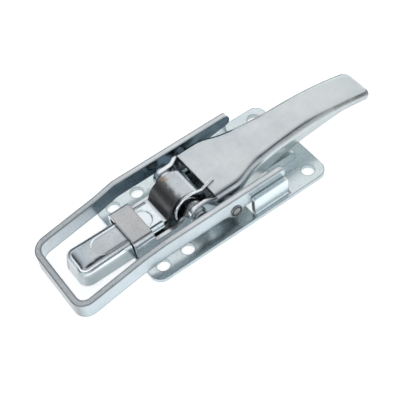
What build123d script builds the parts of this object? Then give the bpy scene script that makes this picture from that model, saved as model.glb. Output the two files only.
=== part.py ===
"""Over-centre toggle latch in zinc-plated pressed steel.

A flat base plate carries a folded guide bracket. The handle turns on an eccentric spindle in the
bracket's ears, draws a flat-bar bail over centre and slides a pressed tongue under the strap.

Millimetres. The origin is the centre of the base plate on its underside, +X points along the
handle, +Y across the latch and +Z away from the mounting surface. The latch is modelled closed.
"""
import os
from math import atan2, cos, pi, radians, sin, sqrt, tan

from build123d import *

# ---------------------------------------------------------------- base plate
plate_length = 108.0
plate_thickness = 2.5
plate_corner_radius = 6.0
bolt_hole_diameter = 7.0
bolt_end_margin = 8.4          # from each end of the plate to the nearest bolt holes
bolt_side_margin = 7.2         # from each side of the plate to the bolt holes
extra_pair_pitch = 14.8        # from the front pair back to the extra pair

# ---------------------------------------------------------------- side lugs, lanced from the plate
lug_length = 21.5
lug_start_x = 7.6
lug_top_z = 13.6
lug_bend_radius = 1.0          # inside the fold
lug_kerf = 0.6                 # cut left round the lug by the lancing tool
lug_corner_radius = 1.5
lug_strip = 1.3                # of plate left outside the fold

# ---------------------------------------------------------------- pivots
pivot_x = -18.0                # handle spindle
pivot_z = 12.6
bail_pin_ahead = 16.3          # bail pins, from the spindle towards the handle's tip
bail_pin_below = 1.6

# ---------------------------------------------------------------- clearances
running_clearance = 0.05       # radial, pin in hole
fixed_clearance = 0.01         # radial, pin peened fast in its hole
face_clearance = 0.15          # between flat faces that turn past each other
guide_clearance = 0.3          # round the sliding tongue, and between parts that part company

# ---------------------------------------------------------------- tongue
tongue_sheet = 2.4
tongue_height = 9.6
tongue_foot_half_width = 10.5
tongue_flare = 9.0             # degrees that each side leans out towards its foot
tongue_nose_x = -83.4
tongue_flank_end_x = -34.0     # where the side flanks stop
tongue_corner_radius = 5.6     # in plan, at the nose
tongue_edge_radius = 3.4       # over the top edges
tongue_web_half_width = 8.4    # of the web and the eye behind the flanks
recess_start_x = -70.3
recess_end_x = -36.5
recess_half_width = 5.5
recess_depth = 0.6

# ---------------------------------------------------------------- rolled eye of the tongue
eye_radius = 11.9
eye_before_pivot = 2.0
eye_below_pivot = 2.2
eye_crease_radius = 1.0

# ---------------------------------------------------------------- guide bracket
bracket_sheet = 2.2
bracket_bend_radius = 1.2      # inside the fold
strap_front_x = -53.2
strap_length = 11.2
ear_radius = 5.0
ear_blend = 8.0                # from the ear down to the low part of each side
side_height = 6.3              # low part of each side, above the plate
side_end_x = 45.5
side_end_radius = 3.0

# ---------------------------------------------------------------- spindle and its washers
spindle_radius = 3.0
eccentric_throw = 2.6
eccentric_angle = 215.0        # degrees from +X towards +Z, with the latch closed
eccentric_end_gap = 0.2        # from the eccentric's end to the eye's end
eccentric_chamfer = 0.5
spindle_head_radius = 3.7
spindle_head_height = 1.4
pivot_washer_radius = 4.5
pivot_washer_thickness = 1.0
spacer_washer_radius = 5.0
spacer_washer_thickness = 0.6

# ---------------------------------------------------------------- return spring
spring_wire = 1.5
spring_coil_radius = 9.3       # to the middle of the wire
spring_leg_reach = 5.0         # of the hook over the handle's top
spring_leg_shift = 2.4         # sideways, at the hook's tip
spring_leave_angle = 72.0      # where the leg leaves the coil
spring_arc = 262.0
spring_leg_bend = 2.5

# ---------------------------------------------------------------- handle
handle_sheet = 2.5
handle_bend_radius = 3.0       # outside the fold
handle_top_z = 19.0            # at the spindle
cheek_half_width = 19.2
cheek_radius = 5.3             # round the spindle
cheek_shoulder = 0.6           # from the handle's top down to the cheek's edge at the mouth
joggle_margin = 1.0            # from the pivot washer to where the cheek steps outward
joggle_end_x = -7.6
joggle_radius = 3.0
mouth_ahead = 10.8             # front edge of the top sheet, from the spindle
cheek_bottom_z = 6.2
neck_start_x = 4.5
neck_middle_x = 15.0
neck_middle_half_width = 16.3
neck_end_x = 26.0
neck_half_width = 13.8
waist_x = 56.0
waist_half_width = 11.6
grip_end_half_width = 11.0
grip_top_z = 19.4
grip_curl_x = 50.0             # the grip curls down from here to its tip
tip_x = 100.3
tip_top_z = 12.4
tip_corner_radius = 5.5
cheek_end_x = 4.0              # the side's lower edge steps up from here
lip_start_x = 10.5
lip_rise_x = 28.0
lip_middle_x = 49.0
lip_middle_z = 12.4
lip_rear_x = 68.0
lip_rear_z = 13.6
lip_end_x = 79.0
lip_end_z = 14.0
tip_lip_depth = 0.3            # of the lip round the tip, below the sheet

# ---------------------------------------------------------------- bail
bail_thickness = 3.3
bail_bar_height = 9.4
bail_top_z = 19.2
bail_side_gap = 2.4            # from the handle's cheeks to the arms
bail_joggle = 0.8              # the front of the loop is this much narrower on each side
bail_front_x = -93.4
bail_bend_x = -42.0
bail_corner_radius = 8.0
bail_joggle_length = 12.0
bail_joggle_radius = 25.0
bail_boss_radius = 4.4         # round the pins
bail_boss_blend = 6.0
bail_tail_x = 29.6
bail_tail_radius = 2.9
bail_taper_x = 11.0            # the lower edge rises from here to the tail
bail_tail_height = 6.0

# ---------------------------------------------------------------- bail pins
bail_pin_radius = 2.5
bail_spacer_radius = 4.2       # of the sleeve between cheek and arm
bail_pin_head_radius = 3.3
bail_pin_head_height = 0.6
bail_pin_inner_head_radius = 3.6
bail_pin_inner_head_height = 0.9

# ---------------------------------------------------------------- places that follow from the sizes
tongue_foot_z = plate_thickness + guide_clearance
tongue_top_z = tongue_foot_z + tongue_height
tongue_web_z = tongue_top_z - tongue_sheet
bracket_inner_y = tongue_foot_half_width + guide_clearance
bracket_outer_y = bracket_inner_y + bracket_sheet
strap_top_z = tongue_top_z + guide_clearance + bracket_sheet
strap_end_x = strap_front_x + strap_length
side_top_z = plate_thickness + side_height
lobe_inner_y = bracket_outer_y + face_clearance + spacer_washer_thickness + fixed_clearance
lobe_outer_y = lobe_inner_y + handle_sheet
joggle_start_x = pivot_x + pivot_washer_radius + joggle_margin
cheek_inner_y = cheek_half_width - handle_sheet
bail_pin_x = pivot_x + bail_pin_ahead
bail_pin_z = pivot_z - bail_pin_below
mouth_x = pivot_x + mouth_ahead
mouth_z = handle_top_z + (grip_top_z - handle_top_z) * mouth_ahead / (grip_curl_x - pivot_x)
lip_start_z = side_top_z + 2 * guide_clearance
eccentric_radius = pivot_z - plate_thickness - eccentric_throw - guide_clearance
eye_x = pivot_x - eye_before_pivot
eye_z = pivot_z - eye_below_pivot
bail_inner_y = cheek_half_width + bail_side_gap
bail_half_width = bail_inner_y + bail_thickness
bail_front_half_width = bail_half_width - bail_joggle
bail_bottom_z = bail_top_z - bail_bar_height
lug_inner_y = bail_half_width + guide_clearance
lug_outer_y = lug_inner_y + plate_thickness
plate_width = 2 * (lug_outer_y + lug_bend_radius + lug_strip)
bolt_spacing_x = plate_length - 2 * bolt_end_margin
bolt_spacing_y = plate_width - 2 * bolt_side_margin
far = 3 * plate_length         # longer than anything here, for cutting tools


def rectangle(x_low, x_high, y_low, y_high):
    """A rectangle between two pairs of lines."""
    shape = Rectangle(x_high - x_low, y_high - y_low)
    return Pos((x_low + x_high) / 2, (y_low + y_high) / 2) * shape


def block(x_low, x_high, y_low, y_high, z_low, z_high):
    """A box between three pairs of planes."""
    return Pos(0, 0, z_low) * extrude(rectangle(x_low, x_high, y_low, y_high), z_high - z_low)


def across(profile, y_low, y_high):
    """Extrude a side view, drawn in X and Z, from one plane across the latch to another."""
    return Pos(0, y_low, 0) * extrude(Plane.XZ * profile, y_high - y_low, dir=(0, 1, 0))


def along(profile, x_low, x_high):
    """Extrude a front view, drawn in Y and Z, from one plane along the latch to another."""
    return Pos(x_low, 0, 0) * extrude(Plane.YZ * profile, x_high - x_low, dir=(1, 0, 0))


def pin(x, z, radius, y_low, y_high):
    """A round bar across the latch."""
    return across(Pos(x, z) * Circle(radius), y_low, y_high)


def washer(x, z, hole_radius, radius, y_low, y_high):
    """A flat ring round an axis across the latch."""
    return pin(x, z, radius, y_low, y_high) - pin(x, z, hole_radius, y_low - 1, y_high + 1)


def round_corner(sketch, x, y, radius):
    """Round the corner of a sketch that lies nearest to a point."""
    corner = sketch.vertices().sort_by_distance(Vector(x, y, 0))[0]
    return fillet(corner, radius)


def mirror_y(solid):
    """The same piece on the other side of the latch."""
    return mirror(solid, Plane.XZ)


# ---------------------------------------------------------------- base plate with its lugs
def lug_front_view():
    """A lug at +Y from the front: a wall that stands on a fold, with the fold on its outer side."""
    bend_y = lug_outer_y + lug_bend_radius
    bend_z = plate_thickness + lug_bend_radius
    outer_radius = lug_bend_radius + plate_thickness
    ring = Circle(outer_radius) - Circle(lug_bend_radius)
    fold = Pos(bend_y, bend_z) * (ring & rectangle(-outer_radius, 0, -outer_radius, 0))
    return fold + rectangle(lug_inner_y, lug_outer_y, bend_z, lug_top_z)


def lug_window():
    """The opening that a lug leaves in the plate, as long as the lug was before it was folded."""
    bend_y = lug_outer_y + lug_bend_radius
    fold_length = (lug_bend_radius + plate_thickness / 2) * pi / 2
    wall_length = lug_top_z - plate_thickness - lug_bend_radius
    inner_y = bend_y - fold_length - wall_length - lug_kerf
    return rectangle(lug_start_x - lug_kerf, lug_start_x + lug_length + lug_kerf, inner_y, bend_y)


def make_base_plate():
    outline = RectangleRounded(plate_length, plate_width, plate_corner_radius)
    rear_x = bolt_spacing_x / 2
    for column_x in (-rear_x, -rear_x + extra_pair_pitch, rear_x):
        for side in (-1, 1):
            outline -= Pos(column_x, side * bolt_spacing_y / 2) * Circle(bolt_hole_diameter / 2)
    outline -= lug_window()
    outline -= mirror(lug_window(), Plane.XZ)
    lug = along(lug_front_view(), lug_start_x, lug_start_x + lug_length)
    lug = fillet(lug.edges().filter_by(Axis.Y).group_by(Axis.Z)[-1], lug_corner_radius)
    return extrude(outline, plate_thickness) + lug + mirror_y(lug)


# ---------------------------------------------------------------- guide bracket
def bracket_side_view():
    """A side of the bracket: a low wall that the handle rests on, with an ear round the spindle."""
    view = rectangle(strap_front_x, side_end_x, plate_thickness, side_top_z)
    view = round_corner(view, side_end_x, side_top_z, side_end_radius)
    view += Pos(pivot_x, pivot_z) * Circle(ear_radius)
    reach = sqrt(ear_radius ** 2 - (pivot_z - side_top_z) ** 2)
    for side in (-1, 1):
        view = round_corner(view, pivot_x + side * reach, side_top_z, ear_blend)
    return view


def strap_front_view():
    """The folded section of the strap, from one foot over the tongue to the other."""
    inner_top = strap_top_z - bracket_sheet
    outer = rectangle(-bracket_outer_y, bracket_outer_y, plate_thickness, strap_top_z)
    inner = rectangle(-bracket_inner_y, bracket_inner_y, plate_thickness, inner_top)
    for side in (-1, 1):
        outer_corner_y = side * bracket_outer_y
        outer = round_corner(outer, outer_corner_y, strap_top_z, bracket_bend_radius + bracket_sheet)
        inner = round_corner(inner, side * bracket_inner_y, inner_top, bracket_bend_radius)
    return outer - inner


def make_guide_bracket():
    side = across(bracket_side_view(), bracket_inner_y, bracket_outer_y)
    side -= pin(pivot_x, pivot_z, spindle_radius + running_clearance, 0, far)
    strap = along(strap_front_view(), strap_front_x, strap_end_x)
    return strap + side + mirror_y(side)


# ---------------------------------------------------------------- tongue
def tongue_shell(inset, top_z, edge_radius):
    """The nose and the flanks as a solid, inset all round by a wall, with rounded top edges."""
    nose_x = tongue_nose_x + inset
    half_width = tongue_foot_half_width - inset
    plan = rectangle(nose_x, 0, -half_width, half_width)
    for side in (-1, 1):
        plan = round_corner(plan, nose_x, side * half_width, tongue_corner_radius - inset)
    solid = Pos(0, 0, tongue_foot_z) * extrude(plan, top_z - tongue_foot_z, taper=tongue_flare)
    top_edges = solid.faces().sort_by(Axis.Z)[-1].edges().sort_by(Axis.X)[:-1]
    return fillet(top_edges, edge_radius)


def eye_side_view():
    """The web and the eye rolled from it, open at the bottom over the eccentric."""
    inner_radius = eye_radius - tongue_sheet
    ring = Pos(eye_x, eye_z) * (Circle(eye_radius) - Circle(inner_radius))
    ring -= rectangle(-far, eye_x, -far, tongue_web_z)
    ring -= rectangle(-far, far, -far, tongue_foot_z + guide_clearance)
    outer_x = eye_x - sqrt(eye_radius ** 2 - (tongue_top_z - eye_z) ** 2)
    view = ring + rectangle(tongue_flank_end_x, outer_x + tongue_sheet / 2, tongue_web_z, tongue_top_z)
    view = round_corner(view, outer_x, tongue_top_z, eye_crease_radius)
    return view


def make_tongue():
    outer = tongue_shell(0, tongue_top_z, tongue_edge_radius)
    inner = tongue_shell(tongue_sheet, tongue_web_z, tongue_edge_radius - tongue_sheet + 0.3)
    behind = block(tongue_flank_end_x, far, -far, far, -far, far)
    recess = SlotOverall(recess_end_x - recess_start_x, 2 * recess_half_width)
    recess = Pos((recess_start_x + recess_end_x) / 2, 0, 0) * recess
    dent = Pos(0, 0, tongue_top_z - recess_depth) * extrude(recess, 2 * recess_depth, taper=-45)
    bulge = Pos(0, 0, tongue_web_z - recess_depth) * extrude(recess, tongue_sheet / 2)
    nose = outer - inner - behind + bulge - dent
    return nose + across(eye_side_view(), -tongue_web_half_width, tongue_web_half_width)


# ---------------------------------------------------------------- spindle and washers
def make_eccentric():
    turn = radians(eccentric_angle)
    centre_x = pivot_x + eccentric_throw * cos(turn)
    centre_z = pivot_z + eccentric_throw * sin(turn)
    half_length = tongue_web_half_width - eccentric_end_gap
    disc = pin(centre_x, centre_z, eccentric_radius, -half_length, half_length)
    disc = chamfer(disc.edges(), eccentric_chamfer)
    return disc - pin(pivot_x, pivot_z, spindle_radius + fixed_clearance, -far, far)


def make_spindle():
    head_y = lobe_outer_y + pivot_washer_thickness + 2 * fixed_clearance
    end_y = head_y + spindle_head_height
    shaft = pin(pivot_x, pivot_z, spindle_radius, -head_y, head_y)
    head = pin(pivot_x, pivot_z, spindle_head_radius, head_y, end_y)
    head = chamfer(head.edges().group_by(Axis.Y)[-1], spindle_head_height / 2)
    return shaft + head + mirror_y(head)


def make_pivot_washer():
    start_y = lobe_outer_y + fixed_clearance
    end_y = start_y + pivot_washer_thickness
    hole_radius = spindle_radius + fixed_clearance
    return washer(pivot_x, pivot_z, hole_radius, pivot_washer_radius, start_y, end_y)


def make_spacer_washer():
    start_y = bracket_outer_y + face_clearance
    end_y = start_y + spacer_washer_thickness
    hole_radius = spindle_radius + fixed_clearance
    return washer(pivot_x, pivot_z, hole_radius, spacer_washer_radius, start_y, end_y)


# ---------------------------------------------------------------- return spring
def make_return_spring():
    """A coil beside the eye whose leg hooks over the front edge of the handle's top."""
    coil_y = -(tongue_web_half_width + bracket_inner_y) / 2
    leave = radians(spring_leave_angle)
    leave_x = pivot_x + spring_coil_radius * cos(leave)
    leave_z = pivot_z + spring_coil_radius * sin(leave)
    hook_z = mouth_z + spring_wire / 2 + guide_clearance
    bend_x = leave_x + (leave_z - hook_z) * tan(leave)
    coil = CenterArc((pivot_x, pivot_z), spring_coil_radius, spring_leave_angle, spring_arc)
    coil = Pos(0, coil_y, 0) * (Plane.XZ * coil)
    leg = FilletPolyline(
        (leave_x, coil_y, leave_z),
        (bend_x, coil_y, hook_z),
        (mouth_x + spring_leg_reach, coil_y + spring_leg_shift, hook_z),
        radius=spring_leg_bend,
    )
    path = Wire(coil.edges() + leg.edges())
    section = Plane(origin=path @ 0, z_dir=path % 0) * Circle(spring_wire / 2)
    return sweep(section, path=path)


# ---------------------------------------------------------------- handle
def handle_top_curve(drop):
    """The line of the handle's top from the spindle to the tip, lowered by a distance."""
    start_x = pivot_x - cheek_radius
    straight = Line((start_x, handle_top_z - drop), (grip_curl_x, grip_top_z - drop))
    curl = TangentArc((grip_curl_x, grip_top_z - drop), (tip_x, tip_top_z - drop), tangent=straight % 1)
    return straight, curl


def handle_solid(inset, front_x, edge_radius):
    """The handle as a full solid, inset by a sheet thickness, with rounded top edges."""
    cheek = cheek_half_width - inset
    shoulder = neck_middle_half_width - inset
    neck = neck_half_width - inset
    waist = waist_half_width - inset
    grip = grip_end_half_width - inset
    end_x = tip_x - inset
    slope = (grip - waist) / (end_x - waist_x)
    lines = [Line((front_x, -cheek), (front_x, cheek)), Line((end_x, -grip), (end_x, grip))]
    for side in (-1, 1):
        leave = (neck_start_x, side * cheek)
        turn = (neck_middle_x, side * shoulder)
        reach = (neck_end_x, side * neck)
        level = (waist_x, side * waist)
        lines.append(Line((front_x, side * cheek), leave))
        lines.append(Spline(leave, turn, reach, level, tangents=[(1, 0), (1, side * slope)]))
        lines.append(Line(level, (end_x, side * grip)))
    plan = make_face(Curve() + lines)
    for side in (-1, 1):
        plan = round_corner(plan, end_x, side * grip, tip_corner_radius - inset)
    straight, curl = handle_top_curve(inset)
    side_view = make_face(
        straight
        + curl
        + Polyline(curl @ 1, (far, 0), (pivot_x - cheek_radius, 0), straight @ 0)
    )
    solid = extrude(plan, far) & across(side_view, -far, far)
    crest = solid.faces().filter_by(lambda face: face.normal_at().Z > 0.5).edges()
    crest = crest.filter_by(lambda edge: edge.center().X > end_x - 1 or abs((edge % 0.5).Y) < 0.9)
    return fillet(crest, edge_radius)


def handle_lower_region():
    """Everything below the lower edge of the handle's sides."""
    tip_z = tip_top_z - handle_sheet - tip_lip_depth
    region = Polygon(
        (mouth_x - far, cheek_bottom_z),
        (cheek_end_x, cheek_bottom_z),
        (lip_start_x, lip_start_z),
        (lip_rise_x, lip_start_z),
        (lip_middle_x, lip_middle_z),
        (lip_rear_x, lip_rear_z),
        (lip_end_x, lip_end_z),
        (tip_x, tip_z),
        (far, tip_z),
        (far, -far),
        (mouth_x - far, -far),
    )
    for x, z, radius in (
        (cheek_end_x, cheek_bottom_z, 5.0),
        (lip_start_x, lip_start_z, 5.0),
        (lip_rise_x, lip_start_z, 30.0),
        (lip_middle_x, lip_middle_z, 30.0),
        (lip_rear_x, lip_rear_z, 20.0),
        (lip_end_x, lip_end_z, 20.0),
    ):
        region = round_corner(region, x, z, radius)
    return region


def cheek_side_view():
    """A cheek from the side, from its round end to the front edge of the handle's top sheet."""
    panel = Polygon(
        (pivot_x, pivot_z - cheek_radius),
        (mouth_x, cheek_bottom_z),
        (mouth_x, mouth_z - cheek_shoulder),
        (pivot_x, pivot_z + cheek_radius),
    )
    return panel + Pos(pivot_x, pivot_z) * Circle(cheek_radius)


def cheek_plan():
    """A cheek at +Y from above: it steps out from its round end to the handle's side."""
    front_x = pivot_x - 2 * cheek_radius
    outer = (
        (front_x, lobe_outer_y),
        (joggle_start_x, lobe_outer_y),
        (joggle_end_x, cheek_half_width),
        (mouth_x + handle_sheet, cheek_half_width),
    )
    inner = [(x, y - handle_sheet) for x, y in reversed(outer)]
    plan = Polygon(*outer, *inner)
    for x, y in outer[1:3] + tuple(inner[1:3]):
        plan = round_corner(plan, x, y, joggle_radius)
    return plan & rectangle(front_x, mouth_x, 0, far)


def make_handle():
    front_x = pivot_x - cheek_radius
    outer = handle_solid(0, front_x, handle_bend_radius)
    inner = handle_solid(handle_sheet, front_x, handle_bend_radius - handle_sheet)
    region = handle_lower_region()
    shell = outer - inner - across(region, -far, far) - block(-far, mouth_x, -far, far, -far, far)
    cheek = extrude(cheek_plan(), far, dir=(0, 0, 1)) & across(cheek_side_view(), 0, far) & outer
    handle = shell + cheek + mirror_y(cheek)
    handle -= pin(pivot_x, pivot_z, spindle_radius + fixed_clearance, -far, far)
    return handle - pin(bail_pin_x, bail_pin_z, bail_pin_radius + running_clearance, -far, far)


# ---------------------------------------------------------------- bail
def bail_plan(inset):
    """The outline of the bail from above, inset by the bar's thickness."""
    rear_y = bail_half_width - inset
    front_y = bail_front_half_width - inset
    front_x = bail_front_x + inset
    joggle_x = bail_bend_x - bail_joggle_length
    plan = Polygon(
        (bail_tail_x + inset, rear_y),
        (bail_bend_x, rear_y),
        (joggle_x, front_y),
        (front_x, front_y),
        (front_x, -front_y),
        (joggle_x, -front_y),
        (bail_bend_x, -rear_y),
        (bail_tail_x + inset, -rear_y),
    )
    for side in (-1, 1):
        plan = round_corner(plan, bail_bend_x, side * rear_y, bail_joggle_radius)
        plan = round_corner(plan, joggle_x, side * front_y, bail_joggle_radius)
        plan = round_corner(plan, front_x, side * front_y, bail_corner_radius - inset)
    return plan


def bail_side_view():
    """The bar on edge, level at the rear and falling to the mounting surface at the front."""
    fall = atan2(bail_bottom_z, bail_bend_x - bail_front_x)
    tail_z = bail_top_z - bail_tail_height
    view = Polygon(
        (bail_taper_x, bail_bottom_z),
        (bail_tail_x, tail_z),
        (bail_tail_x, bail_top_z),
        (bail_bend_x, bail_top_z),
        (bail_front_x, bail_bar_height / cos(fall)),
        (bail_front_x, 0),
        (bail_bend_x, bail_bottom_z),
    )
    view = round_corner(view, bail_tail_x, bail_top_z, bail_tail_radius)
    view = round_corner(view, bail_tail_x, tail_z, bail_tail_radius)
    view += Pos(bail_pin_x, bail_pin_z) * Circle(bail_boss_radius)
    reach = sqrt(bail_boss_radius ** 2 - (bail_pin_z - bail_bottom_z) ** 2)
    for side in (-1, 1):
        view = round_corner(view, bail_pin_x + side * reach, bail_bottom_z, bail_boss_blend)
    return view


def make_bail():
    strip = extrude(bail_plan(0) - bail_plan(bail_thickness), far)
    bar = strip & across(bail_side_view(), -far, far)
    return bar - pin(bail_pin_x, bail_pin_z, bail_pin_radius + running_clearance, -far, far)


def make_bail_pin():
    """A rivet through one cheek, a spacer and one arm."""
    inner_end_y = cheek_inner_y - face_clearance
    inner_start_y = inner_end_y - bail_pin_inner_head_height
    head_start_y = bail_half_width + face_clearance
    head_end_y = head_start_y + bail_pin_head_height
    shank = pin(bail_pin_x, bail_pin_z, bail_pin_radius, inner_start_y, head_end_y)
    inner_head = pin(bail_pin_x, bail_pin_z, bail_pin_inner_head_radius, inner_start_y, inner_end_y)
    head = pin(bail_pin_x, bail_pin_z, bail_pin_head_radius, head_start_y, head_end_y)
    head = chamfer(head.edges().group_by(Axis.Y)[-1], bail_pin_head_height / 2)
    return shank + inner_head + head


def make_bail_spacer():
    start_y = cheek_half_width + face_clearance
    end_y = bail_inner_y - face_clearance
    hole_radius = bail_pin_radius + fixed_clearance
    return washer(bail_pin_x, bail_pin_z, hole_radius, bail_spacer_radius, start_y, end_y)


pieces = {
    "base_plate": make_base_plate(),
    "guide_bracket": make_guide_bracket(),
    "tongue": make_tongue(),
    "handle": make_handle(),
    "spindle": make_spindle(),
    "eccentric": make_eccentric(),
    "spacer_washer_left": make_spacer_washer(),
    "spacer_washer_right": mirror_y(make_spacer_washer()),
    "pivot_washer_left": make_pivot_washer(),
    "pivot_washer_right": mirror_y(make_pivot_washer()),
    "return_spring": make_return_spring(),
    "bail": make_bail(),
    "bail_pin_left": make_bail_pin(),
    "bail_pin_right": mirror_y(make_bail_pin()),
    "bail_spacer_left": make_bail_spacer(),
    "bail_spacer_right": mirror_y(make_bail_spacer()),
}
os.makedirs("parts", exist_ok=True)
for name, piece in pieces.items():
    export_step(piece, f"parts/{name}.step")
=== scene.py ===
"""Over-centre toggle latch: looks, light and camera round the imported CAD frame. Metres."""
from math import cos, radians, sin

import bmesh
import bpy
from mathutils import Matrix, Vector


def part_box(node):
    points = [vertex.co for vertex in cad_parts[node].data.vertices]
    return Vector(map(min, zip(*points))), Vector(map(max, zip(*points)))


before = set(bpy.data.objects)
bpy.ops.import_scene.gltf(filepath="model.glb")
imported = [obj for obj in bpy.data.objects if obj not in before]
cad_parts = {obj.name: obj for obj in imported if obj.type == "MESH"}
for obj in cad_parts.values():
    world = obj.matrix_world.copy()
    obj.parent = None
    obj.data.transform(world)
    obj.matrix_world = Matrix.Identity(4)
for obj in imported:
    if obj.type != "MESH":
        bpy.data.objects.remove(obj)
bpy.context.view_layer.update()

MM = 0.001

# The photograph's camera, solved from the plate's outline and bolt holes.
CAMERA_RIGHT = Vector((0.80416, -0.58665, -0.09570))
CAMERA_UP = Vector((0.51776, 0.61225, 0.59755))
CAMERA_PLACE = Vector((-156.1, -270.31, 404.85)) * MM
CAMERA_LENS = 89.20            # with a sensor of the width below, both in mm
CAMERA_SENSOR = 36.0

FLOOR_Z = -0.02 * MM           # just under the plate, so that the two faces don't share a plane
FLOOR_RADIUS = 3.0             # of the flat part
COVE_RADIUS = 1.5              # of the wall that the floor curves up into
COVE_DEGREES = 75
COVE_STEPS = 15
FLOOR_SIDES = 96
PAPER_WHITE = (0.92, 0.92, 0.92)
PAPER_GLOW = 0.62

# The studio's plain level, then the cards in it: aim, inner and outer angle in degrees, and level.
STUDIO = (0.90, 0.95, 0.99)
CARDS = (
    ((0.52, 0.46, 0.72), 12.0, 40.0, (1.10, 1.09, 1.09)),
    ((-0.80, 0.50, 0.33), 20.0, 44.0, (0.18, 0.20, 0.23)),
    ((-0.15, -0.22, 0.96), 10.0, 24.0, (0.02, 0.04, 0.065)),
    ((0.35, -0.06, 0.93), 8.0, 23.0, (0.02, 0.04, 0.065)),
    ((0.25, -0.92, 0.30), 12.0, 30.0, (1.20, 1.23, 1.25)),
)

# Wear that several materials share, and the painted dark line along edges.
SPECK = (0.10, 0.09, 0.085)
SPECK_SOFTNESS = 0.06          # of noise, from clean metal to a full speck
EDGE_BEGINS = 0.998            # cosine of the turn between the face's and the rounded normal
EDGE_IS_FULL = 0.93
RELIEF_DEPTH = 0.02 * MM
BEVEL_SAMPLES = 4

# The radius of the dark ring, painted shade standing for a groove, on the end of each turned piece.
SPINDLE_GROOVE = 2.6 * MM
PIN_GROOVE = 2.5 * MM


# ---------------------------------------------------------------- camera
def make_camera():
    """The photograph's view: from the bail's end, the near side and well above."""
    data = bpy.data.cameras.new("camera")
    data.sensor_width = CAMERA_SENSOR
    data.lens = CAMERA_LENS
    data.clip_start = 0.01
    data.clip_end = 20.0
    camera = bpy.data.objects.new("camera", data)
    bpy.context.scene.collection.objects.link(camera)
    back = CAMERA_RIGHT.cross(CAMERA_UP)
    axes = Matrix((CAMERA_RIGHT, CAMERA_UP, back)).transposed().to_4x4()
    camera.matrix_world = Matrix.Translation(CAMERA_PLACE) @ axes
    bpy.context.scene.camera = camera


# ---------------------------------------------------------------- node helpers
class Nodes:
    """A material or world node tree, written one node to a line."""

    def __init__(self, tree):
        self.tree = tree
        tree.nodes.clear()

    def add(self, kind, **settings):
        """A new node, with its properties set."""
        node = self.tree.nodes.new(kind)
        for name, value in settings.items():
            setattr(node, name, value)
        return node

    def link(self, source, target):
        """Join an output to an input."""
        self.tree.links.new(source, target)

    def put(self, value, socket):
        """Link an output, or set a number, on a socket."""
        if isinstance(value, bpy.types.NodeSocket):
            self.link(value, socket)
        elif isinstance(value, tuple) and len(value) < len(socket.default_value):
            socket.default_value = (*value, 1.0)
        else:
            socket.default_value = value

    def noise(self, vector, scale, detail=2.0, roughness=0.5):
        """A noise texture's strength at a place."""
        node = self.add("ShaderNodeTexNoise")
        node.inputs["Scale"].default_value = scale
        node.inputs["Detail"].default_value = detail
        node.inputs["Roughness"].default_value = roughness
        self.link(vector, node.inputs["Vector"])
        return node.outputs["Fac"]

    def stretched(self, vector, scale, turn=(0.0, 0.0, 0.0)):
        """The same place, turned and scaled by axis, for marks that run one way."""
        node = self.add("ShaderNodeMapping")
        node.inputs["Rotation"].default_value = turn
        node.inputs["Scale"].default_value = scale
        self.link(vector, node.inputs["Vector"])
        return node.outputs["Vector"]

    def spread(self, value, low, high, out_low=0.0, out_high=1.0, smooth=False):
        """Map a value from one range to another, and hold it at the ends."""
        node = self.add("ShaderNodeMapRange")
        node.interpolation_type = "SMOOTHSTEP" if smooth else "LINEAR"
        numbers = (low, high, out_low, out_high)
        for name, number in zip(("From Min", "From Max", "To Min", "To Max"), numbers):
            node.inputs[name].default_value = number
        self.link(value, node.inputs["Value"])
        return node.outputs["Result"]

    def math(self, operation, first, second=0.0):
        """One maths operation on outputs or numbers."""
        node = self.add("ShaderNodeMath", operation=operation)
        for socket, value in zip(node.inputs, (first, second)):
            self.put(value, socket)
        return node.outputs["Value"]

    def product(self, first, *others):
        """Several masks or numbers multiplied together."""
        for other in others:
            first = self.math("MULTIPLY", first, other)
        return first

    def mix(self, factor, first, second):
        """One colour over another, by a factor."""
        node = self.add("ShaderNodeMix", data_type="RGBA")
        self.put(factor, node.inputs["Factor"])
        for name, value in (("A", first), ("B", second)):
            self.put(value, [s for s in node.inputs if s.name == name and s.type == "RGBA"][0])
        return [s for s in node.outputs if s.type == "RGBA"][0]

    def axes(self, vector):
        """The three numbers of a vector."""
        node = self.add("ShaderNodeSeparateXYZ")
        self.link(vector, node.inputs["Vector"])
        return node.outputs

    def toward(self, vector, direction, inner, outer):
        """1 within one angle of a direction, in degrees, falling to 0 at a wider one."""
        node = self.add("ShaderNodeVectorMath", operation="DOT_PRODUCT")
        self.link(vector, node.inputs[0])
        node.inputs[1].default_value = Vector(direction).normalized()
        far, near = cos(radians(outer)), cos(radians(inner))
        return self.spread(node.outputs["Value"], far, near, smooth=True)


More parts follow.
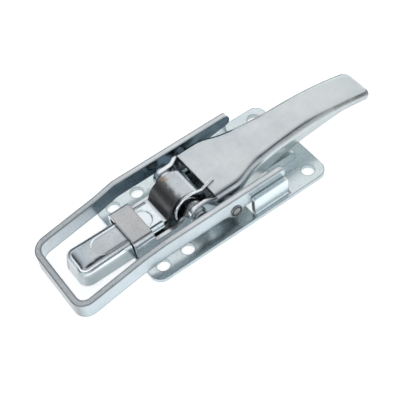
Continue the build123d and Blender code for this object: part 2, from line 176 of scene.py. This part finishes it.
# ---------------------------------------------------------------- zinc plate
class Zinc:
    """Zinc-plated steel: cloudy colour, fine grain, rolling marks, scratches and soft edges.
    """

    def __init__(self, name, light, dark, roughness, cloud=70.0, rolling=(90.0, 1400.0, 1400.0)):
        self.material = bpy.data.materials.new(name)
        self.material.use_nodes = True
        self.nodes = nodes = Nodes(self.material.node_tree)
        self.place = nodes.add("ShaderNodeTexCoord").outputs["Object"]
        self.x, self.y, self.z = nodes.axes(self.place)
        facing = nodes.add("ShaderNodeNewGeometry").outputs["True Normal"]
        self.across_x, self.across_y, self.across_z = nodes.axes(facing)
        clouds = nodes.noise(self.place, cloud, detail=5.0, roughness=0.62)
        grain = nodes.noise(self.place, 1500.0, detail=3.0, roughness=0.7)
        rolled = nodes.noise(nodes.stretched(self.place, rolling), 1.0, detail=4.0, roughness=0.7)
        self.colour = nodes.mix(nodes.spread(clouds, 0.32, 0.68), dark, light)
        fine = nodes.spread(grain, 0.35, 0.65, 0.0, 0.22)
        self.colour = nodes.mix(fine, self.colour, tuple(0.80 * part for part in dark))
        self.rough = nodes.spread(clouds, 0.3, 0.7, roughness + 0.035, roughness - 0.03)
        self.rough = nodes.math("ADD", self.rough, nodes.spread(rolled, 0.3, 0.7, -0.02, 0.05))
        self.height = nodes.math("ADD", grain, rolled)
        self.crown = None

    def ramp(self, place, start, end, low=0.0, high=1.0, smooth=False):
        """A mask that goes from low to high between two places along an axis, in millimetres."""
        return self.nodes.spread(place, start * MM, end * MM, low, high, smooth)

    def crowned(self, beyond, curve):
        """A stamped top falls away gently past a line: by the square of the distance beyond it."""
        past = self.nodes.math("MAXIMUM", beyond, 0.0)
        fall = self.nodes.product(past, past, -curve)
        self.crown = fall if self.crown is None else self.nodes.math("ADD", self.crown, fall)

    def paint_wear_and_light(self, mask, colour, roughness=0.1):
        """Colour the metal and change its roughness where a mask is 1, for real marks and for painted
        light and shade.
        """
        self.colour = self.nodes.mix(mask, self.colour, colour)
        self.rough = self.nodes.math("ADD", self.rough, self.nodes.math("MULTIPLY", mask, roughness))

    def passivated(self, tint, scale, amount):
        """The faint colour that chromate leaves in broad patches."""
        patches = self.nodes.noise(self.place, scale, detail=3.0)
        self.paint_wear_and_light(self.nodes.spread(patches, 0.45, 0.62, 0.0, amount, smooth=True), tint, 0.0)

    def scratched(self, colour, amount, turns=(0.5, -0.9, 1.9)):
        """Fine straight scratches in a few directions."""
        for turn in turns:
            lines = self.nodes.stretched(self.place, (110.0, 3200.0, 800.0), (0.15, 0.1, turn))
            lines = self.nodes.noise(lines, 1.0)
            self.paint_wear_and_light(self.nodes.spread(lines, 0.66, 0.72, 0.0, amount), colour, 0.08)

    def specked(self, colour, amount, mask=1.0, scale=900.0, threshold=0.60):
        """Small dark pits, where a mask allows them."""
        spots = self.nodes.noise(self.place, scale, roughness=0.6)
        spots = self.nodes.spread(spots, threshold, threshold + SPECK_SOFTNESS, 0.0, amount)
        self.paint_wear_and_light(self.nodes.product(spots, mask), colour, 0.15)

    def turned(self, centre_x, centre_z, pitch=5200.0):
        """Rings left by a lathe round an axis across the latch. Returns the distance from it."""
        nodes = self.nodes
        over_x = nodes.math("SUBTRACT", self.x, centre_x)
        over_z = nodes.math("SUBTRACT", self.z, centre_z)
        square = nodes.math("ADD", nodes.math("POWER", over_x, 2.0), nodes.math("POWER", over_z, 2.0))
        radius = nodes.math("SQRT", square)
        rings = nodes.add("ShaderNodeTexNoise", noise_dimensions="1D")
        rings.inputs["Scale"].default_value = pitch
        rings.inputs["Detail"].default_value = 2.0
        nodes.link(radius, rings.inputs["W"])
        self.height = nodes.math("ADD", self.height, rings.outputs["Fac"])
        return radius

    def edged(self, radius, colour, amount):
        """A dark line painted along folds, sheared edges and corners: painted shade, standing for the
        dark reflection that these rounded edges show.
        """
        nodes = self.nodes
        rounded = nodes.add("ShaderNodeBevel", samples=BEVEL_SAMPLES)
        rounded.inputs["Radius"].default_value = radius * MM
        turn = nodes.add("ShaderNodeVectorMath", operation="DOT_PRODUCT")
        nodes.link(rounded.outputs["Normal"], turn.inputs[0])
        nodes.link(nodes.add("ShaderNodeNewGeometry").outputs["Normal"], turn.inputs[1])
        line = nodes.spread(turn.outputs["Value"], EDGE_BEGINS, EDGE_IS_FULL, 0.0, amount)
        self.paint_wear_and_light(line, colour, 0.05)

    def finish(self, bump=0.10, edge=0.35):
        """The shader, with its relief, its crown and edges rounded by a radius in millimetres."""
        nodes = self.nodes
        output = nodes.add("ShaderNodeOutputMaterial")
        shader = nodes.add("ShaderNodeBsdfPrincipled")
        shader.inputs["Metallic"].default_value = 1.0
        nodes.link(self.colour, shader.inputs["Base Color"])
        nodes.link(self.rough, shader.inputs["Roughness"])
        rounded = nodes.add("ShaderNodeBevel", samples=BEVEL_SAMPLES)
        rounded.inputs["Radius"].default_value = edge * MM
        relief = nodes.add("ShaderNodeBump")
        relief.inputs["Strength"].default_value = bump
        relief.inputs["Distance"].default_value = RELIEF_DEPTH
        nodes.link(self.height, relief.inputs["Height"])
        form = rounded.outputs["Normal"]
        if self.crown is not None:
            swell = nodes.add("ShaderNodeBump")
            swell.inputs["Strength"].default_value = 1.0
            swell.inputs["Distance"].default_value = 1.0
            nodes.link(self.crown, swell.inputs["Height"])
            nodes.link(form, swell.inputs["Normal"])
            form = swell.outputs["Normal"]
        nodes.link(form, relief.inputs["Normal"])
        nodes.link(relief.outputs["Normal"], shader.inputs["Normal"])
        nodes.link(shader.outputs["BSDF"], output.inputs["Surface"])
        return self.material


# ---------------------------------------------------------------- materials
def plate_zinc():
    """The base plate: pale, with painted shade on its sheared edge and a painted highlight on its
    folded lugs.
    """
    zinc = Zinc("plate_zinc", (0.72, 0.79, 0.81), (0.61, 0.69, 0.72), roughness=0.25)
    nodes = zinc.nodes
    zinc.passivated((0.60, 0.69, 0.70), scale=30.0, amount=0.6)
    # Painted shade: the plate's low edge faces, round its outline and in its holes, are darker.
    sheared_edge_shade = nodes.spread(nodes.math("ABSOLUTE", zinc.across_z), 0.5, 0.2, 0.0, 0.35)
    low = zinc.ramp(zinc.z, 4.0, 3.0)
    zinc.paint_wear_and_light(nodes.product(sheared_edge_shade, low), (0.34, 0.39, 0.41), roughness=0.05)
    # Painted shade: a dark line along the edges and folds.
    zinc.edged(0.9, (0.13, 0.15, 0.16), amount=0.9)
    # Painted highlight: everything above the plate's top, which is the folded lugs, is lighter.
    lug_highlight = zinc.ramp(zinc.z, 4.5, 6.5, 0.0, 0.5)
    zinc.paint_wear_and_light(lug_highlight, (0.90, 0.96, 0.96), roughness=0.0)
    zinc.scratched((0.40, 0.44, 0.46), amount=0.30)
    zinc.specked(SPECK, amount=0.45, scale=1300.0, threshold=0.62)
    return zinc.finish()


def bracket_zinc():
    """The guide bracket, with a dull grey top to its strap."""
    zinc = Zinc("bracket_zinc", (0.75, 0.79, 0.81), (0.60, 0.64, 0.66), roughness=0.20)
    level = zinc.nodes.spread(zinc.across_z, 0.75, 0.95)
    strap = zinc.ramp(zinc.x, -38.0, -41.0, 0.0, 0.6)
    zinc.paint_wear_and_light(zinc.nodes.product(level, strap), (0.35, 0.335, 0.335), roughness=0.09)
    # Painted shade: a dark line along the edges and folds.
    zinc.edged(0.8, (0.14, 0.14, 0.15), amount=0.75)
    zinc.scratched((0.30, 0.29, 0.29), amount=0.30)
    zinc.specked(SPECK, amount=0.45, scale=1500.0, threshold=0.62)
    return zinc.finish()


def tongue_zinc():
    """The tongue: a rolled eye with a painted dark reflection in front, a bright web, painted shade low
    on its walls, and painted shade and highlights on its near edge, nose and folds.
    """
    zinc = Zinc("tongue_zinc", (0.56, 0.60, 0.62), (0.45, 0.49, 0.51), roughness=0.13)
    nodes = zinc.nodes

    # The eye's front is painted dark brown: a painted dark reflection, with a ragged upper edge.
    ragged = nodes.noise(zinc.place, 420.0, detail=5.0, roughness=0.7)
    ragged = nodes.product(nodes.spread(ragged, 0.3, 0.7, -1.0, 1.0), 1.2 * MM)
    ragged_x = nodes.math("ADD", zinc.x, ragged)
    painted_front_shade = zinc.ramp(ragged_x, -20.5, -24.0, 0.0, 0.9, smooth=True)
    start = zinc.ramp(zinc.x, -32.6, -31.8, smooth=True)
    zinc.paint_wear_and_light(nodes.product(painted_front_shade, start), (0.07, 0.062, 0.057), roughness=0.22)

    # The web between the eye and the channel is bright, and the channel's walls get painted shade low
    # down, darker towards their foot.
    web = nodes.product(zinc.ramp(zinc.x, -33.0, -34.0), zinc.ramp(zinc.x, -44.0, -43.0))
    zinc.paint_wear_and_light(nodes.product(web, 0.8), (0.80, 0.87, 0.89), roughness=0.0)
    wall_foot_shade = nodes.spread(nodes.math("ABSOLUTE", zinc.across_y), 0.6, 0.9, 0.0, 0.6)
    low = zinc.ramp(zinc.z, 10.5, 7.5, smooth=True)
    zinc.paint_wear_and_light(nodes.product(wall_foot_shade, low), (0.26, 0.33, 0.35), roughness=0.0)

    # A tan patch lies along the far end of the eye's ragged edge.
    far_top = zinc.ramp(zinc.y, 3.5, 6.5, smooth=True)
    band = nodes.product(zinc.ramp(ragged_x, -24.5, -22.0), zinc.ramp(ragged_x, -19.5, -21.5))
    zinc.paint_wear_and_light(nodes.product(far_top, band, 0.8), (0.30, 0.20, 0.12), roughness=0.1)

    # The channel's top falls away towards its sides and its nose.
    channel = zinc.ramp(zinc.x, -46.0, -50.0)
    aside = nodes.math("SUBTRACT", nodes.math("ABSOLUTE", zinc.y), 2.8 * MM)
    zinc.crowned(nodes.product(aside, channel), curve=50.0)
    zinc.crowned(nodes.math("SUBTRACT", -72.0 * MM, zinc.x), curve=26.0)

    # It gets brown-dark painted shade along its near edge and at its nose, and a painted highlight on
    # its folds.
    near_edge = zinc.ramp(zinc.y, -3.6, -7.0, smooth=True)
    nose = zinc.ramp(zinc.x, -76.0, -81.5, smooth=True)
    near_edge_and_nose_shade = nodes.math("MAXIMUM", nodes.product(near_edge, channel), nose)
    level = nodes.spread(zinc.across_z, 0.88, 0.97)
    zinc.paint_wear_and_light(nodes.product(near_edge_and_nose_shade, level, 0.55), (0.17, 0.14, 0.12), roughness=0.0)
    below_top = nodes.spread(zinc.across_z, 0.92, 0.80)
    above_wall = nodes.spread(zinc.across_z, 0.18, 0.35)
    ahead = zinc.ramp(zinc.x, -44.0, -46.0, 0.0, 0.9)
    fold_highlight = nodes.product(below_top, above_wall, ahead)
    zinc.paint_wear_and_light(fold_highlight, (0.95, 0.97, 0.98), roughness=-0.03)

    zinc.scratched((0.34, 0.36, 0.38), amount=0.30)
    zinc.specked(SPECK, amount=0.4, scale=1500.0, threshold=0.64)
    return zinc.finish(edge=0.5)


def handle_zinc():
    """The handle: satin on top, with a painted dark broken line, a painted reflection, along the folds
    of its grip.
    """
    zinc = Zinc("handle_zinc", (0.62, 0.66, 0.68), (0.51, 0.55, 0.57), roughness=0.18, cloud=60.0)
    nodes = zinc.nodes

    # The painted dark line stands for the dark reflection in the fold. It is on the fold itself, and
    # fades towards the cheeks.
    fold = nodes.math("ABSOLUTE", zinc.across_y)
    folded = nodes.product(nodes.spread(fold, 0.08, 0.24), nodes.spread(fold, 0.90, 0.62))
    broken = nodes.noise(zinc.place, 900.0, detail=5.0, roughness=0.75)
    broken = nodes.spread(broken, 0.36, 0.60, 0.6, 1.0)
    grip = zinc.ramp(zinc.x, 20.0, 40.0, 0.35, 1.0)
    zinc.paint_wear_and_light(nodes.product(folded, broken, grip), (0.075, 0.06, 0.05), roughness=0.10)

    # The sides get painted shade, darker than the top, and the cheeks' front lobes get a painted
    # highlight.
    side_shade = nodes.spread(fold, 0.9, 0.985, 0.0, 0.5)
    zinc.paint_wear_and_light(side_shade, (0.34, 0.37, 0.36), roughness=0.0)
    lobe_highlight = zinc.ramp(zinc.x, -7.6, -9.4, 0.0, 0.75)
    zinc.paint_wear_and_light(lobe_highlight, (0.92, 0.95, 0.97), roughness=-0.03)

    # The top is flat in a middle strip, as wide as the neck and grip leave it, and falls from there.
    neck = nodes.spread(zinc.x, 4.5 * MM, 26.0 * MM, 12.5 * MM, 7.3 * MM, smooth=True)
    taper = nodes.spread(zinc.x, 26.0 * MM, 56.0 * MM, 0.0, 2.3 * MM)
    flat = nodes.math("SUBTRACT", neck, taper)
    zinc.crowned(nodes.math("SUBTRACT", nodes.math("ABSOLUTE", zinc.y), flat), curve=34.0)

    zinc.passivated((0.58, 0.63, 0.62), scale=24.0, amount=0.5)
    zinc.scratched((0.44, 0.46, 0.47), amount=0.22)
    zinc.specked(SPECK, amount=0.25, scale=1600.0, threshold=0.66)
    # Painted shade: a dark line along the edges and folds.
    zinc.edged(0.7, (0.07, 0.075, 0.08), amount=0.7)
    return zinc.finish(edge=0.8)


def bail_zinc():
    """The bar: smooth rolled faces with painted shade on some sides, a rough sheared top edge, and a
    painted dark line round its corners.
    """
    rolling = (60.0, 1200.0, 1200.0)
    zinc = Zinc("bail_zinc", (0.66, 0.71, 0.74), (0.56, 0.61, 0.64), roughness=0.22, rolling=rolling)
    nodes = zinc.nodes

    # The top edge is roughest at the closed end.
    edge = nodes.spread(zinc.across_z, 0.6, 0.85)
    edge = nodes.product(edge, zinc.ramp(zinc.x, -20.0, -70.0, 0.2, 1.0))
    broken = nodes.noise(zinc.place, 2200.0, detail=5.0, roughness=0.75)
    broken = nodes.spread(broken, 0.34, 0.64, 0.1, 0.9)
    zinc.paint_wear_and_light(nodes.product(edge, broken), (0.44, 0.435, 0.43), roughness=0.12)
    zinc.specked(SPECK, 0.85, mask=edge, scale=2600.0, threshold=0.58)
    # Painted shade: a dark line along the edges and folds.
    zinc.edged(1.6, (0.06, 0.065, 0.07), amount=0.95)

    # Painted shade: the closed end's front, the near arm's outside and the far arm's inside are darker.
    painted_front_shade = nodes.spread(zinc.across_x, -0.45, -0.85, 0.0, 0.75)
    zinc.paint_wear_and_light(painted_front_shade, (0.27, 0.28, 0.29), roughness=0.0)
    faces_near = nodes.spread(zinc.across_y, -0.5, -0.9)
    near_outside_shade = nodes.product(faces_near, zinc.ramp(zinc.y, 0.0, -1.0), 0.5)
    zinc.paint_wear_and_light(near_outside_shade, (0.54, 0.62, 0.65), roughness=0.0)
    far_inside_shade = nodes.product(faces_near, zinc.ramp(zinc.y, 0.0, 1.0))
    behind = zinc.ramp(zinc.x, -85.0, -25.0, 0.0, 0.9)
    zinc.paint_wear_and_light(nodes.product(far_inside_shade, behind), (0.18, 0.25, 0.30), roughness=0.0)

    zinc.scratched((0.40, 0.43, 0.46), amount=0.30)
    zinc.specked(SPECK, amount=0.35, scale=1500.0, threshold=0.66)
    return zinc.finish(edge=0.6)


def turned_zinc(name, centre_x, centre_z, groove):
    """A turned piece with lathe rings, a dark ring painted at a radius as the shade of a groove, and a
    dull centre.
    """
    zinc = Zinc(name, (0.68, 0.72, 0.74), (0.50, 0.53, 0.55), roughness=0.15, cloud=160.0)
    nodes = zinc.nodes
    radius = zinc.turned(centre_x, centre_z)
    # Painted shade: a dark ring where a groove would be shaded.
    away = nodes.math("ABSOLUTE", nodes.math("SUBTRACT", radius, groove))
    zinc.paint_wear_and_light(zinc.ramp(away, 0.80, 0.45), (0.03, 0.03, 0.035), roughness=0.1)
    centre = nodes.spread(radius, groove, groove - 1.2 * MM, 0.0, 0.8)
    zinc.paint_wear_and_light(centre, (0.17, 0.15, 0.14), roughness=0.05)
    zinc.specked(SPECK, amount=0.5, threshold=0.63)
    # Painted shade: a dark line along the edges.
    zinc.edged(0.6, (0.04, 0.04, 0.045), amount=0.85)
    return zinc.finish(bump=0.16)


def spring_steel():
    """The spring's wire, brighter and smoother than the sheet, with a few brown specks."""
    zinc = Zinc("spring_steel", (0.93, 0.94, 0.95), (0.72, 0.74, 0.75), roughness=0.12, cloud=220.0)
    zinc.specked((0.16, 0.115, 0.085), amount=0.5)
    return zinc.finish(edge=0.1)


def dress(materials):
    """Give each CAD node its material."""
    for node, material in materials.items():
        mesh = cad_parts[node].data
        mesh.materials.clear()
        mesh.materials.append(material)


def middle(node):
    """The middle of a CAD node's box, which is the axis of a turned piece."""
    low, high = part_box(node)
    return (low[0] + high[0]) / 2, (low[2] + high[2]) / 2


# ---------------------------------------------------------------- stage and light
def make_floor():
    """A pale floor that curves up all round into a low wall."""
    form = bmesh.new()
    profile = [Vector((0.0, 0.0, FLOOR_Z)), Vector((FLOOR_RADIUS, 0.0, FLOOR_Z))]
    for step in range(1, COVE_STEPS + 1):
        turn = radians(COVE_DEGREES * step / COVE_STEPS)
        out = FLOOR_RADIUS + COVE_RADIUS * sin(turn)
        profile.append(Vector((out, 0.0, FLOOR_Z + COVE_RADIUS * (1 - cos(turn)))))
    points = [form.verts.new(point) for point in profile]
    edges = [form.edges.new(pair) for pair in zip(points, points[1:])]
    bmesh.ops.spin(
        form, geom=points + edges, cent=(0, 0, 0), axis=(0, 0, 1), angle=radians(360), steps=FLOOR_SIDES
    )
    bmesh.ops.remove_doubles(form, verts=form.verts, dist=0.1 * MM)
    mesh = bpy.data.meshes.new("floor")
    form.to_mesh(mesh)
    form.free()
    mesh.shade_smooth()
    floor = bpy.data.objects.new("floor", mesh)
    bpy.context.scene.collection.objects.link(floor)
    floor.data.materials.append(white_paper())


def white_paper():
    """White paper that the camera and the metal see at full white, with the object's shadow."""
    material = bpy.data.materials.new("white_paper")
    material.use_nodes = True
    nodes = Nodes(material.node_tree)
    output = nodes.add("ShaderNodeOutputMaterial")
    paper = nodes.add("ShaderNodeBsdfDiffuse")
    nodes.put(PAPER_WHITE, paper.inputs["Color"])
    path = nodes.add("ShaderNodeLightPath")
    seen = nodes.math("MAXIMUM", path.outputs["Is Camera Ray"], path.outputs["Is Glossy Ray"])
    seen = nodes.math("MAXIMUM", seen, path.outputs["Is Transmission Ray"])
    glow = nodes.add("ShaderNodeEmission")
    nodes.link(nodes.math("MULTIPLY", seen, PAPER_GLOW), glow.inputs["Strength"])
    both = nodes.add("ShaderNodeAddShader")
    nodes.link(paper.outputs["BSDF"], both.inputs[0])
    nodes.link(glow.outputs["Emission"], both.inputs[1])
    nodes.link(both.outputs["Shader"], output.inputs["Surface"])
    return material


def make_light():
    """A white studio all round, with bright and dark cards for the metal to reflect."""
    world = bpy.data.worlds.new("world")
    bpy.context.scene.world = world
    world.use_nodes = True
    nodes = Nodes(world.node_tree)
    output = nodes.add("ShaderNodeOutputWorld")
    background = nodes.add("ShaderNodeBackground")
    direction = nodes.add("ShaderNodeTexCoord").outputs["Generated"]
    colour = STUDIO
    for aim, inner, outer, level in CARDS:
        colour = nodes.mix(nodes.toward(direction, aim, inner, outer), colour, level)
    nodes.link(colour, background.inputs["Color"])
    nodes.link(background.outputs["Background"], output.inputs["Surface"])


make_camera()
make_floor()
make_light()
washers = ("pivot_washer_left", "pivot_washer_right", "spacer_washer_left", "spacer_washer_right")
pivot = turned_zinc("pivot_zinc", *middle("spindle"), SPINDLE_GROOVE)
pins = turned_zinc("pin_zinc", *middle("bail_pin_left"), PIN_GROOVE)
dress({name: pivot for name in ("spindle", "eccentric") + washers})
dress({name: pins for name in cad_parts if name.startswith(("bail_pin", "bail_spacer"))})
dress({"base_plate": plate_zinc(), "guide_bracket": bracket_zinc(), "tongue": tongue_zinc()})
dress({"handle": handle_zinc(), "bail": bail_zinc(), "return_spring": spring_steel()})
bpy.context.scene.view_settings.view_transform = "Standard"
